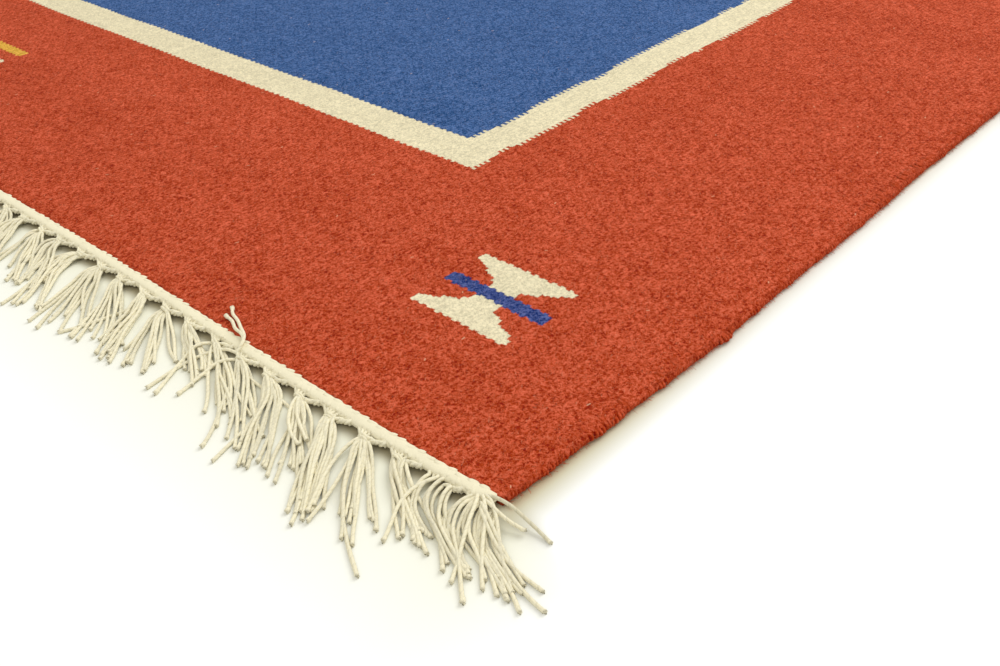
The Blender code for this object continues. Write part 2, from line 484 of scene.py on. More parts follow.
def grid_mesh(name, rings, closed=True, caps=True):
    """A mesh that joins each ring of points to the next."""
    count = len(rings[0])
    points = np.concatenate([np.asarray(ring) for ring in rings])
    sides = count if closed else count - 1
    faces = []
    for number in range(len(rings) - 1):
        here, there = number * count, (number + 1) * count
        for side in range(sides):
            after = (side + 1) % count
            faces.append((here + side, here + after, there + after, there + side))
    if caps:
        faces.append(tuple(range(count))[::-1])
        faces.append(tuple(range((len(rings) - 1) * count, len(rings) * count)))
    mesh = bpy.data.meshes.new(name)
    mesh.from_pydata(points.tolist(), [], faces)
    mesh.update()
    return mesh


def unevenness(x, y):
    """How much the top stands off level, from a few long waves that cross."""
    return UNEVEN * (
        np.sin(x * 31 + 1.7 * np.sin(y * 11)) * np.sin(y * 23 + 1.1)
        + 0.7 * np.sin(x * 67 + y * 41) * np.sin(y * 59 - x * 13)
    )


def crowded(count, pull):
    """Numbers from -1 to 1 that stand closer together near both ends."""
    even = np.linspace(-1, 1, count)
    return (1 - pull) * even + pull * np.sin(even * math.pi / 2)


def cloth_ring(y, lift):
    """One section of the cloth at y. lift is 1 where it is full thickness, and less where it turns down."""
    right, left = half_width(y) - SHEET_INSET, -half_width(-y) + SHEET_INSET
    middle, half = (right + left) / 2, (right - left) / 2
    across = crowded(TOP_COLUMNS, 0.5)
    x = middle + across * (half - EDGE_ROUND)
    top = CLOTH_THICK * lift + unevenness(x, y) * lift
    ring = [np.stack([x, np.full_like(x, y), top], 1)]
    turn = np.linspace(0, math.pi, SIDE_TURN + 2)[1:-1]
    centre, tall = CLOTH_THICK * lift / 2, CLOTH_THICK * lift / 2
    ring.append(np.stack([right - EDGE_ROUND + np.sin(turn) * EDGE_ROUND,
                          np.full_like(turn, y), centre + np.cos(turn) * tall], 1))
    x = np.linspace(right - EDGE_ROUND, left + EDGE_ROUND, UNDER_COLUMNS)
    ring.append(np.stack([x, np.full_like(x, y), np.zeros_like(x)], 1))
    ring.append(np.stack([left + EDGE_ROUND - np.sin(turn) * EDGE_ROUND,
                          np.full_like(turn, y), centre - np.cos(turn) * tall], 1))
    return np.concatenate(ring)


def follow_ends(ring, share):
    """Bends a ring to the wavy ends. share is 1 at the +Y end and -1 at the -Y end."""
    for point in ring:
        end = half_length(point[0]) if share < 0 else half_length(-point[0])
        point[1] += share * (end - RUG_LENGTH / 2) * abs(share) ** 3
    return ring


def make_cloth():
    rings = []
    turn_down = 1 - END_ROUND / (RUG_LENGTH / 2)
    for share in sorted([*crowded(CLOTH_RINGS, 0.5), -turn_down, turn_down]):
        y = share * RUG_LENGTH / 2
        lift = 0.75 if abs(share) > 0.99999 else 1.0
        rings.append(follow_ends(cloth_ring(y, lift), share))
    mesh = grid_mesh("cloth_sheet", rings)
    mesh.materials.append(WOOL)
    mesh.shade_smooth()
    return placed("cloth_sheet", mesh)


cloth_sheet = make_cloth()
print("cloth_sheet has", len(cloth_sheet.data.polygons), "faces")

# %% [markdown]
# ## Growing pieces with Geometry Nodes
# What repeats, or follows a line, is grown by Geometry Nodes. Each tree is built by a short function and
# has named inputs for its sizes. It ends in real geometry with its material, which is then kept as a
# plain mesh, so nothing is left live on the finished piece. Two trees serve the whole rug: one sweeps a
# round yarn along lines, and the other sets copies of a small shape on points.

# %% The tree that sweeps a yarn along lines
YARN_SIDES = 6


def new_tree(name, sizes):
    """A Geometry Nodes tree with a geometry in and out, and named inputs given as (name, socket type)."""
    graph = bpy.data.node_groups.new(name, "GeometryNodeTree")
    graph.interface.new_socket("Geometry", in_out="INPUT", socket_type="NodeSocketGeometry")
    for label, kind in sizes:
        graph.interface.new_socket(label, in_out="INPUT", socket_type=kind)
    graph.interface.new_socket("Geometry", in_out="OUTPUT", socket_type="NodeSocketGeometry")
    tree = Tree(graph)
    start = tree.node("NodeGroupInput")
    given = {socket.name: Wire(tree, socket) for socket in start.outputs if socket.name}
    return tree, given


def end_tree(tree, shape, material):
    """Turns instances into real faces, gives them their material, and closes the tree."""
    real = tree.put("GeometryNodeRealizeInstances", None, {0: shape})
    done = tree.put("GeometryNodeSetMaterial", None, {"Geometry": real, "Material": material})
    tree.node("NodeGroupOutput", None, {0: done})


def sweep_tree():
    """Lines become yarns. Each point's radius is its own, and the yarn keeps a map of around and along."""
    tree, given = new_tree("sweep_yarn", (
        ("Radius", "NodeSocketFloat"),
        ("Sides", "NodeSocketInt"),
        ("Material", "NodeSocketMaterial"),
    ))
    line = tree.put("GeometryNodeMeshToCurve", None, {0: given["Geometry"]})
    swell = tree.put("GeometryNodeInputNamedAttribute", {"data_type": "FLOAT"}, {"Name": "swell"})
    line = tree.put("GeometryNodeSetCurveRadius", None, {"Curve": line, "Radius": swell})
    along = tree.put("GeometryNodeSplineParameter", output=1)
    line = kept(tree, line, along)
    ring = tree.put("GeometryNodeCurveArc", {"mode": "RADIUS"}, {
        "Resolution": given["Sides"] + 1, "Radius": given["Radius"], "Sweep Angle": math.tau})
    ring = kept(tree, ring, tree.put("GeometryNodeSplineParameter"))
    tube = tree.put("GeometryNodeCurveToMesh", None, {
        "Curve": line[0], "Profile Curve": ring[0], "Fill Caps": True})
    place = tree.point(ring[1], line[1])
    tube = tree.put("GeometryNodeStoreNamedAttribute", {"data_type": "FLOAT2", "domain": "CORNER"}, {
        "Geometry": tube, "Name": "yarn", "Value": place})
    tube = tree.put("GeometryNodeMergeByDistance", None, {"Geometry": tube, "Distance": 0.00002})
    tube = tree.put("GeometryNodeSetShadeSmooth", None, {"Geometry": tube})
    end_tree(tree, tube, given["Material"])
    return tree.graph


def kept(tree, shape, value):
    """Keeps a value on a shape while it still can be read, and gives back both."""
    node = tree.node("GeometryNodeCaptureAttribute", {"domain": "POINT"})
    node.capture_items.new("FLOAT", "Value")
    tree.join(node.inputs[0], shape)
    tree.join(node.inputs[1], value)
    return Wire(tree, node.outputs[0]), Wire(tree, node.outputs[1])


SWEEP = sweep_tree()


def grow(name, carrier, graph, sizes):
    """Runs a tree on a carrier mesh once, and keeps the result as a plain piece."""
    host = placed(name + "_carrier", carrier)
    modifier = host.modifiers.new("grow", "NODES")
    modifier.node_group = graph
    sockets = {item.name: item.identifier for item in graph.interface.items_tree if item.in_out == "INPUT"}
    for label, value in sizes.items():
        modifier[sockets[label]] = value
    bpy.context.view_layer.update()
    ready = host.evaluated_get(bpy.context.evaluated_depsgraph_get())
    mesh = bpy.data.meshes.new_from_object(ready)
    mesh.name = name
    bpy.data.objects.remove(host)
    bpy.data.meshes.remove(carrier)
    print(name, "has", sum(len(p.vertices) - 2 for p in mesh.polygons), "triangles")
    return placed(name, mesh)


def line_mesh(name, lines, swells, tones):
    """A mesh of bare lines that carries each point's swell and each line's tone."""
    points = np.concatenate(lines)
    edges, start = [], 0
    for line in lines:
        edges += [(start + i, start + i + 1) for i in range(len(line) - 1)]
        start += len(line)
    mesh = bpy.data.meshes.new(name)
    mesh.from_pydata(points.tolist(), edges, [])
    mesh.attributes.new("swell", "FLOAT", "POINT").data.foreach_set("value", np.concatenate(swells))
    each = np.concatenate([np.full(len(line), tone) for line, tone in zip(lines, tones)])
    mesh.attributes.new("tone", "FLOAT", "POINT").data.foreach_set("value", each)
    return mesh


# %% The tree that sets copies on points
def copies_tree():
    """Copies of a small shape on each point, turned and sized by the point, with a little chance."""
    tree, given = new_tree("set_copies", (
        ("Shape", "NodeSocketObject"),
        ("Seed", "NodeSocketInt"),
        ("Size change", "NodeSocketFloat"),
        ("Turn change", "NodeSocketFloat"),
        ("Material", "NodeSocketMaterial"),
    ))
    shape = tree.put("GeometryNodeObjectInfo", None, {"Object": given["Shape"]}, output=4)
    facing = tree.put("GeometryNodeInputNamedAttribute", {"data_type": "FLOAT_VECTOR"}, {"Name": "facing"})
    change = given["Turn change"]
    jitter = tree.put("FunctionNodeRandomValue", {"data_type": "FLOAT_VECTOR"}, {
        0: tree.point(change * -1, change * -1, change * -1), 1: tree.point(change, change, change),
        "Seed": given["Seed"]})
    turn = tree.put("ShaderNodeVectorMath", {"operation": "ADD"}, {0: facing, 1: jitter})
    low, high = 1 - given["Size change"], 1 + given["Size change"]
    size = tree.put("FunctionNodeRandomValue", {"data_type": "FLOAT_VECTOR"}, {
        0: tree.point(low, low, low), 1: tree.point(high, high, high), "Seed": given["Seed"] + 7})
    points = tree.put("GeometryNodeMeshToPoints", None, {"Mesh": given["Geometry"]})
    made = tree.put("GeometryNodeInstanceOnPoints", None, {
        "Points": points, "Instance": shape, "Rotation": turn, "Scale": size})
    end_tree(tree, made, given["Material"])
    return tree.graph


COPIES = copies_tree()


def spot_mesh(name, places, turns):
    """A mesh of bare points, each with the turn that its copy takes."""
    mesh = bpy.data.meshes.new(name)
    mesh.from_pydata([tuple(place) for place in places], [], [])
    facing = mesh.attributes.new("facing", "FLOAT_VECTOR", "POINT")
    facing.data.foreach_set("vector", np.asarray(turns, float).ravel())
    return mesh


def rest_on_floor(piece):
    """Lifts any point that dips below the floor back up to it."""
    heights = np.empty(len(piece.data.vertices) * 3)
    piece.data.vertices.foreach_get("co", heights)
    heights[2::3] = np.maximum(heights[2::3], 0.0)
    piece.data.vertices.foreach_set("co", heights)
    piece.data.update()


def set_copies(name, places, turns, mesh, material, seed, size_change=0.08, turn_change=0.08):
    """Grows copies of a mesh on places, as one piece."""
    mesh.shade_smooth()
    shape = placed(name + "_shape", mesh)
    piece = grow(name, spot_mesh(name + "_spots", places, turns), COPIES, {
        "Shape": shape, "Seed": seed, "Size change": size_change, "Turn change": turn_change,
        "Material": material})
    bpy.data.objects.remove(shape)
    rest_on_floor(piece)
    return piece


# %% [markdown]
# ## The selvedges
# At each side the weft turns round a bundle of thicker warps and comes back. These turns lie close
# together and lean, so the edge looks like a soft rope. Each turn is one short fat yarn from the top round
# to the underside, and Geometry Nodes sets a copy of it every 2.2 mm. The edge is never quite straight, so
# the turns stand in and out in slow waves, and a few spots bulge where the weft was left loose.

# %% Make the selvedge turns
TURN_STEPS = 7
TURN_SIDES = 5
TURN_REACH = 0.0072
TURN_HALF_WIDTH = 0.0016
TURN_DEEP = 0.0011
TURN_LEAN = -0.0024
TURN_HEIGHT = 0.0024
TURN_RISE = 0.0015

# How the turns stand in from the outline: a chance of each turn's own, and waves along the edge
TURN_CHANCE = 0.00016
TURN_WAVE = 0.00032
TURN_WAVES = (
    # turn for each metre, phase
    (170, 0.0),
    (410, 1.3),
)


def selvedge_turn():
    """One turn of the weft: from the top, out round the edge, and under. Its outer side is at x = 0."""
    rings = []
    for step in range(TURN_STEPS + 1):
        share = step / TURN_STEPS
        angle = math.pi * (0.5 - share)
        over = max(math.cos(angle), 0.0)
        x = -TURN_DEEP - TURN_REACH * (1 - over ** 0.75)
        z = TURN_HEIGHT + TURN_RISE * math.sin(angle)
        y = TURN_LEAN * (share - 0.5)
        slope = Vector((over, 0, math.sin(angle))).normalized()
        fat = 0.40 + 0.60 * math.sin(math.pi * share) ** 0.7
        ring = []
        for side in range(TURN_SIDES):
            around = math.tau * side / TURN_SIDES
            out = math.cos(around) * TURN_DEEP * fat
            ring.append((x + slope.x * out, y + math.sin(around) * TURN_HALF_WIDTH * (0.7 + 0.3 * fat),
                         z + slope.z * out))
        rings.append(ring)
    mesh = grid_mesh("selvedge_turn", rings)
    # Painted shade: each turn is marked darker on its sides, where it meets the next turn, and not on its
    # outer crest. The mark fades in from the turn's inner end on the cloth.
    low = np.array([1 - max(math.cos(math.tau * side / TURN_SIDES), 0.0) for side in range(TURN_SIDES)])
    pits = np.concatenate([low * min(step / 2, 1.0) for step in range(len(rings))])
    mesh.attributes.new("turn_side_shade", "FLOAT", "POINT").data.foreach_set("value", pits)
    return mesh


# Where the weft was turned more loosely
BULGES = (
    # place along the selvedge, how far out, how long
    (-0.847, 0.0022, 0.006),
    (-0.936, 0.0009, 0.012),
    (-0.610, 0.0010, 0.010),
    (0.420, 0.0012, 0.009),
)


def selvedge_places(seed):
    chance = random.Random(seed)
    places, turns = [], []
    count = int((RUG_LENGTH - 0.006) / PICK_PITCH)
    for side in (1, -1):
        for number in range(count):
            y = (number + 0.5 - count / 2) * PICK_PITCH
            sunk = abs(chance.gauss(0, TURN_CHANCE))
            sunk += TURN_WAVE * (2 + sum(math.sin(y * turn + phase) for turn, phase in TURN_WAVES))
            sunk -= sum(out * math.exp(-((side * y - at) / reach) ** 2) for at, out, reach in BULGES)
            places.append((side * (half_width(side * y) - sunk), y + chance.gauss(0, 0.00025), 0.0))
            turns.append((0.0, 0.0, chance.gauss(0, 0.09) + (0.0 if side > 0 else math.pi)))
    return places, turns


selvedge_turns = set_copies("selvedge_turns", *selvedge_places(31), selvedge_turn(), WOOL_YARN, seed=3,
                            size_change=0.10, turn_change=0.04)

# %% [markdown]
# ## The cotton
# The warps are undyed plied cotton. Two plies wind round each other, which shows as slanting grooves along
# every cord. The sweep keeps how far round and how far along each point of a cord lies, and the grooves
# are a sine of the two together. Each cord also has a tone of its own.

# %% The cotton's material
PLY_PITCH = 0.0040
COTTON_SHEEN = 0.40
COTTON_GLOW = 0.0016
FLUFF_SHADE, PATCH_SHADE = 0.20, 0.14
COTTON_BUMP, COTTON_BUMP_HEIGHT = 0.85, 0.00045


def make_cotton(name, plied, pale, soft=0.0):
    """Cotton, with grooves between its plies or without. soft is how much light goes into it."""
    material, tree, shader = wool_or_cotton(name, roughness=0.85, sheen=COTTON_SHEEN)
    shader.inputs["Sheen Tint"].default_value = COTTON
    shader.inputs["Subsurface Weight"].default_value = soft
    shader.inputs["Subsurface Radius"].default_value = (1.0, 0.9, 0.7)
    shader.inputs["Subsurface Scale"].default_value = COTTON_GLOW
    at = tree.put("ShaderNodeTexCoord", output=3)
    fluff = tree.noise(at, 1500.0, 2.0, 0.6)
    patches = tree.noise(at, 60.0, 2.0)
    shade = pale + (fluff - 0.5) * FLUFF_SHADE + (patches - 0.5) * PATCH_SHADE
    height = fluff * 0.35
    if plied:
        place = tree.node("ShaderNodeSeparateXYZ", None, {
            0: tree.put("ShaderNodeAttribute", {"attribute_name": "yarn"}, output=1)})
        around, along = Wire(tree, place.outputs[0]), Wire(tree, place.outputs[1])
        groove = abs((around * math.tau / 2 - along * math.pi / PLY_PITCH).sine())
        # Painted shade in the grooves between the plies.
        shade = shade * groove.ease(0.0, 0.5, 0.91, 1.01)
        height = height + groove.ease(0.0, 0.9) * 0.40
        tone = tree.put("ShaderNodeAttribute", {"attribute_name": "tone"}, output=2)
        shade = shade * tone
    tree.join(shader.inputs["Base Color"], tree.tint(COTTON, shade))
    bump = tree.put("ShaderNodeBump", None, {
        "Strength": COTTON_BUMP, "Distance": COTTON_BUMP_HEIGHT, "Height": height})
    tree.join(shader.inputs["Normal"], bump)
    return material


# The tips' cotton is made a little paler than the cords': painted light that offsets the shade on their ends.
COTTON_CORD = make_cotton("cotton_cord", plied=True, pale=0.99, soft=0.12)
COTTON_BAND = make_cotton("cotton_band", plied=False, pale=1.00)
COTTON_TIP = make_cotton("cotton_tip", plied=False, pale=1.01)

# %% [markdown]
# ## The knotted warps
# The warps leave the cloth 3 mm apart. Seven or eight at a time are drawn together into a knot about nine
# millimetres out, and their free ends are the fringe. So each cord is one line from the cloth's edge,
# through its knot, over a low arch and down to the floor, where it lies. The knots and the lean repeat
# the solid fringe's. Every line is drawn by a short walk that turns towards its lean, from fixed seeds.
# The bunches that the picture shows are given the lean, the fan and the length that they have there.

# %% Sizes of the fringe
KNOTS = 62
KNOT_PITCH = RUG_WIDTH / KNOTS
KNOT_OUT = 0.0086
KNOT_STRAYS = (
    # amplitude, turn for each knot, phase
    (0.0009, 2.4, 0.0),
    (0.0006, 4.3, 1.0),
)
LEAN = 40.0
LEAN_CHANGES = (
    # amplitude, turn for each knot, phase
    (6.0, 0.42, 0.8),
    (4.0, 1.90, 0.0),
)
CORNER_LEAN = 20.0
CORNER_KNOTS = 2.0
CORD_RADIUS = 0.00090
CORD_LENGTH = 0.048
CORD_LENGTH_SPREAD = 0.0056
CORD_LENGTH_LIMIT = 0.011
BAND_OUT = 0.0045
WARP_HEIGHT = 0.0031
TWISTED_WARPS = 3
TWIST_STEPS = 8
CORNER_EXTRA = 5
EXTRA_STRANDS = 3
CORNER_WARPS_APART = 0.0016
CORNER_MARGIN = 0.0105
WARP_INSIDE = 0.0025
TWIST_TURNS = 1.45
TWIST_WIDE = 0.00085
MEET_AFTER = 0.0108
MEET_MARGIN = 0.0080
LOOSE_STEPS = 16
KNOT_SPREAD = 0.0020
KNOT_HEIGHT = 0.0030

# How the cords leave a knot and where they lie: degrees of lean, their chance, and what the fan adds
FIRST_LEAN, FIRST_CHANCE, FIRST_FAN = 54, 15, 20
LAST_CHANCE, LAST_FAN = 4, 9
CORNER_FIRST, CORNER_CHANCE = 46, 9
EACH_FIRST, EACH_LAST, EACH_BOW = 6, 4, 7
TURNED = (0.014, 0.024)
WILD, SEEN_WILD, WILD_CHANCE = 0.18, 0.08, 18
HOOK_FIRST, HOOK_LAST, HOOK_LENGTH = (-65, -20), (-5, 32), 0.8
WRIGGLE, WRIGGLE_LENGTH = 4, 0.007

# How the knots lie that the picture shows. The others lie by chance
SEEN_KNOTS = {
    # lean at first and at last in degrees, how far they fan, then where they turn and their length in mm
    44: (5, 25, 1.0, 18, 47),
    45: (25, 44, 1.5, 18, 47),
    46: (12, 42, 1.0, 16, 42),
    47: (-20, 42, 1.2, 30, 50),
    48: (12, 38, 1.4, 22, 46),
    49: (42, 46, 0.8, 18, 50),
    50: (40, 34, 0.8, 20, 48),
    51: (32, 46, 1.3, 20, 44),
    52: (62, 62, 0.8, 20, 40),
    53: (68, 58, 0.6, 20, 51),
    54: (58, 55, 0.5, 20, 52),
    55: (62, 40, 0.8, 26, 54),
    56: (56, 48, 0.6, 22, 49),
    57: (44, 38, 0.8, 20, 52),
    58: (42, 44, 0.5, 20, 51),
    59: (42, 60, 0.5, 20, 47),
    60: (6, 62, 0.7, 26, 43),
    61: (8, 62, 0.8, 26, 43),
}

# How far the last knots before the lean's corner lie open, by their number from it
LOOSE_KNOTS = {0: 0.0060, 1: 0.0045, 2: 0.0020}


def sway(changes, number):
    return sum(size * math.sin(turn * number + phase) for size, turn, phase in changes)


def knot_place(number):
    return -RUG_WIDTH / 2 + (number + 0.5) * KNOT_PITCH + sway(KNOT_STRAYS, number)


def smooth(value):
    value = max(0.0, min(1.0, value))
    return value * value * (3 - 2 * value)


def warps_of(number):
    """Where the warps of a knot leave the cloth."""
    count = round((number + 1) * KNOT_PITCH / WARP_PITCH) - round(number * KNOT_PITCH / WARP_PITCH)
    first = -RUG_WIDTH / 2 + round(number * KNOT_PITCH / WARP_PITCH) * WARP_PITCH
    limit = RUG_WIDTH / 2 - CORNER_MARGIN
    places = [max(-limit, min(limit, first + (i + 0.5) * WARP_PITCH)) for i in range(count)]
    if number in (0, KNOTS - 1):
        places += [math.copysign(limit - CORNER_WARPS_APART * i, places[-1]) for i in range(CORNER_EXTRA)]
    return sorted(places)


def knot_end(number, fan, chance):
    """A cord's place in its knot. The cords lie side by side in the order that they come."""
    middle = knot_place(number)
    loose = LOOSE_KNOTS.get(KNOTS - 1 - number, 0.0)
    x = middle + fan * (KNOT_SPREAD + loose)
    y = -half_length(middle) - KNOT_OUT + loose * 0.35
    return Vector((x, y, KNOT_HEIGHT + chance.uniform(-0.0010, 0.0010)))


def gathered(x, knot, fan, chance, twist):
    """A warp's way from the cloth to its knot. The last few of a knot are twisted round each other."""
    edge = -half_length(x)
    end = knot_end(knot, fan, chance)
    start = Vector((x, edge + WARP_INSIDE, WARP_HEIGHT))
    band = Vector((x + 0.15 * (end.x - x), edge - BAND_OUT, WARP_HEIGHT))
    if twist is None:
        return [start, start.lerp(band, 0.5), band, band.lerp(end, 0.35), band.lerp(end, 0.7)], end
    meet_x = min(knot_place(knot) + MEET_AFTER, RUG_WIDTH / 2 - MEET_MARGIN)
    meet = Vector((meet_x, edge - BAND_OUT - 0.0010, WARP_HEIGHT))
    points = [start, start.lerp(meet, 0.5)]
    for step in range(TWIST_STEPS):
        share = step / TWIST_STEPS
        angle = math.tau * (TWIST_TURNS * share + twist / TWISTED_WARPS)
        centre = meet.lerp(end, share)
        wide = TWIST_WIDE * (1 - 0.35 * share)
        points.append(centre + Vector((0.3 * wide * math.cos(angle), wide * math.cos(angle),
                                       wide * math.sin(angle))))
    return points, end


def lock_habit(number, chance, seen):
    """How a knot's cords lie: first and last lean, fan, where they turn, length and share of wild ones."""
    if number in seen:
        first, last, fanned, turned, length = seen[number]
        return first, last, fanned, turned / 1000, length / 1000, SEEN_WILD
    near_corner = math.exp(-(KNOTS - 1 - number) / CORNER_KNOTS)
    first = FIRST_LEAN - CORNER_FIRST * near_corner
    first += chance.gauss(0, FIRST_CHANCE - CORNER_CHANCE * near_corner)
    last = LEAN + sway(LEAN_CHANGES, number) + CORNER_LEAN * near_corner + chance.gauss(0, LAST_CHANCE)
    return first, last, 1.0, chance.uniform(*TURNED), CORD_LENGTH, WILD * (1 - near_corner)


def loose_end(start, habit, fan, chance, change):
    """A cord's walk from its knot to its tip, as points."""
    first, lean, fanned, turned, length, wild = habit
    length += change
    first += fan * fanned * FIRST_FAN + chance.gauss(0, EACH_FIRST)
    lean += fan * fanned * LAST_FAN + chance.gauss(0, EACH_LAST)
    if chance.random() < wild:
        lean += chance.gauss(0, WILD_CHANCE)
    if fan < 0 and chance.random() < wild:
        first = chance.uniform(*HOOK_FIRST)
        lean = chance.uniform(*HOOK_LAST)
        length *= HOOK_LENGTH
    bow = chance.gauss(0, EACH_BOW)
    settle = chance.uniform(0.010, 0.019)
    rest = CORD_RADIUS + chance.random() ** 2 * 0.0024
    hump = chance.uniform(0.0002, 0.0019)
    phase = chance.uniform(0, math.tau)
    x, y = start.x, start.y
    points = [start]
    for step in range(1, LOOSE_STEPS + 1):
        run = length * step / LOOSE_STEPS
        angle = first + (lean - first) * smooth(run / turned) + bow * (run / length) ** 2
        angle = math.radians(angle + WRIGGLE * math.sin(run / WRIGGLE_LENGTH + phase))
        x += length / LOOSE_STEPS * math.sin(angle)
        y -= length / LOOSE_STEPS * math.cos(angle)
        down = smooth(run / settle)
        arch = hump * math.sin(math.pi * min(run / settle, 1.0))
        ripple = (rest - CORD_RADIUS) * (1 - smooth((run / length - 0.55) / 0.45))
        points.append(Vector((x, y, start.z * (1 - down) + arch + (CORD_RADIUS + ripple) * down)))
    return points


def evened(points):
    """The same line with every point kept above the floor, and a short last step that closes its end."""
    points = points + [points[-1] + (points[-1] - points[-2]).normalized() * 0.0005]
    return np.array([(p.x, p.y, max(p.z, CORD_RADIUS)) for p in points])


def fringe_cords(seed, seen):
    """All cords of the -Y end, each as its line, its tone and its thickness."""
    chance = random.Random(seed)
    cords = []
    for number in range(KNOTS):
        habit = lock_habit(number, chance, seen)
        places = warps_of(number)
        fans = [2 * order / (len(places) - 1) - 1 for order in range(len(places))]
        for order, fan in enumerate(fans + [chance.uniform(-1, 1) for _ in range(EXTRA_STRANDS)]):
            if order < len(places):
                twist = order - (len(places) - TWISTED_WARPS)
                twist = twist if twist >= 0 and number < KNOTS - 1 else None
                way, end = gathered(places[order], number, fan, chance, twist)
            else:
                way, end = [], knot_end(number, fan, chance)
            change = max(-CORD_LENGTH_LIMIT, min(CORD_LENGTH_LIMIT, chance.gauss(0, CORD_LENGTH_SPREAD)))
            line = evened(way + loose_end(end, habit, fan, chance, change))
            cords.append((line, chance.uniform(0.90, 1.05), chance.uniform(0.86, 1.10)))
    return cords


# %% [markdown]
# A few cords in the picture lie their own way: two flipped back over the red border, some that reach out
# past the corner, one of them thin and yellowed, and some that bow across the bunch beside them. Those are
# listed one by one, as points measured from the rug's near corner.

# %% Strays listed one by one
STRAYS = (
    # tone, thickness, then points as millimetres along the end, out from the end, and height
    (1.04, 1.0, ((-172, 9, 3.2), (-173, 4, 6.4), (-177, 0, 6.8), (-184, -3, 6.5),
        (-191, -6, 6.4), (-198, -8, 6.2), (-203, -11, 5.8))),
    (1.02, 1.0, ((-172, 8, 3.4), (-174, 3, 6.2), (-179, 0, 6.6), (-186, -1, 6.4),
        (-193, -4, 6.2), (-199, -5, 5.8))),
    (0.80, 0.80, ((-9, 3, 4.4), (-4, 2, 5.6), (3, 1.5, 5.4), (10, 1.5, 3.6),
        (17, 2, 2.0), (24, 3, 0.9))),
    (1.00, 1.0, ((-9, 5, 4.4), (-5, 6, 5.6), (1, 7, 5.2), (7, 7, 3.8),
        (13, 6, 2.6))),
    (1.03, 1.0, ((-10, 4, 4.6), (-6, 7, 5.6), (0, 13, 5.0), (6, 21, 3.2),
        (13, 29, 1.6), (20, 36, 0.9))),
    (0.97, 1.0, ((-9, 3, 4.6), (-4, 5, 5.4), (3, 10, 4.6), (11, 17, 2.8),
        (20, 24, 1.4), (29, 30, 0.9))),
    (1.02, 1.0, ((-12, 5, 4.6), (-9, 9, 5.4), (-5, 17, 4.6), (0, 26, 2.8),
        (5, 34, 1.4), (9, 41, 0.9))),
    (0.97, 1.0, ((-8, 7, 4.4), (-5, 9, 5.8), (1, 12, 5.2), (9, 16, 3.2),
        (18, 20, 1.6), (30, 25, 0.8))),
    (0.97, 1.0, ((-7, 8, 4.2), (-4, 11, 5.4), (3, 15, 4.6), (12, 19, 2.6),
        (23, 22, 1.2), (37, 23, 0.9))),
    (0.98, 1.0, ((-75, 9, 3.4), (-75, 14, 3.6), (-70, 24, 1.6), (-60, 36, 0.8),
        (-48, 46, 0.8), (-34, 55, 0.8), (-21, 62, 0.8))),
    (1.00, 1.0, ((-172, 9, 3.4), (-177, 11, 4.4), (-183, 15, 2.8), (-187, 22, 1.4),
        (-188, 32, 0.9), (-187, 42, 0.8), (-186, 50, 0.8))),
    (1.00, 1.0, ((-97, 9, 3.4), (-93, 14, 4.0), (-85, 22, 2.4), (-76, 31, 2.2),
        (-68, 40, 2.4), (-62, 49, 1.8))),
    (1.03, 1.0, ((-97, 9, 3.6), (-95, 16, 3.6), (-87, 27, 2.6), (-77, 38, 2.8),
        (-68, 48, 2.0), (-60, 57, 0.8))),
    (1.02, 1.0, ((-75, 9, 3.6), (-77, 15, 3.8), (-76, 25, 2.8), (-71, 36, 3.0),
        (-65, 46, 2.8), (-61, 53, 2.0))),
    (0.98, 1.0, ((-75, 9, 3.2), (-73, 17, 3.4), (-68, 28, 2.6), (-63, 38, 2.6),
        (-59, 48, 2.4), (-57, 56, 1.4))),
    (1.02, 1.0, ((-121, 9, 3.6), (-117, 14, 4.6), (-110, 20, 4.0), (-102, 24, 3.6),
        (-95, 27, 3.0))),
    (1.04, 1.0, ((-121, 9, 3.8), (-118, 16, 4.6), (-111, 24, 4.2), (-103, 29, 3.4),
        (-96, 31, 3.0))),
)


def curve_through(points, steps):
    """A smooth line through a few points. At each point it runs the way from the last one to the next."""
    line = []
    padded = [points[0]] + list(points) + [points[-1]]
    for before, here, there, after in zip(padded, padded[1:], padded[2:], padded[3:]):
        bend = 2 * before - 5 * here + 4 * there - after
        twist = 3 * here - before - 3 * there + after
        for step in range(steps):
            t = step / steps
            line.append(0.5 * (2 * here + (there - before) * t + bend * t * t + twist * t ** 3))
    return line + [points[-1]]


def stray_cords():
    cords = []
    for tone, thickness, points in STRAYS:
        way = [Vector((CORNER.x + along / 1000, CORNER.y - out / 1000, height / 1000))
               for along, out, height in points]
        cords.append((evened(curve_through(way, 4)), tone, thickness))
    return cords


# %% Grow the cords
def turned_round(cords):
    """The same cords turned half round, for the +Y end."""
    return [(line * np.array((-1, -1, 1)), tone, thickness) for line, tone, thickness in cords]


def swell_of(line, thickness):
    """A cord swells a little under the heading and at its cut end."""
    lumps = np.sin(np.arange(len(line)) * 2.3 + line[0][0] * 900) * 0.06
    swell = 1 + lumps
    swell[:4] = (1.0, 1.15, 1.2, 1.1)
    swell[-4:] = (1.0, 1.04, 1.10, 0.80)
    return swell * thickness


def grow_cords(name, cords):
    lines, tones = [line for line, _, _ in cords], [tone for _, tone, _ in cords]
    swells = [swell_of(line, thickness) for line, _, thickness in cords]
    carrier = line_mesh(name + "_lines", lines, swells, tones)
    piece = grow(name, carrier, SWEEP, {"Radius": CORD_RADIUS, "Sides": YARN_SIDES, "Material": COTTON_CORD})
    rest_on_floor(piece)
    return piece


front = fringe_cords(seed=11, seen=SEEN_KNOTS) + stray_cords()
back = turned_round(fringe_cords(seed=29, seen={}))
cords_front = grow_cords("cords_front", front)
cords_back = grow_cords("cords_back", back)
print(len(front) + len(back), "cords grown")

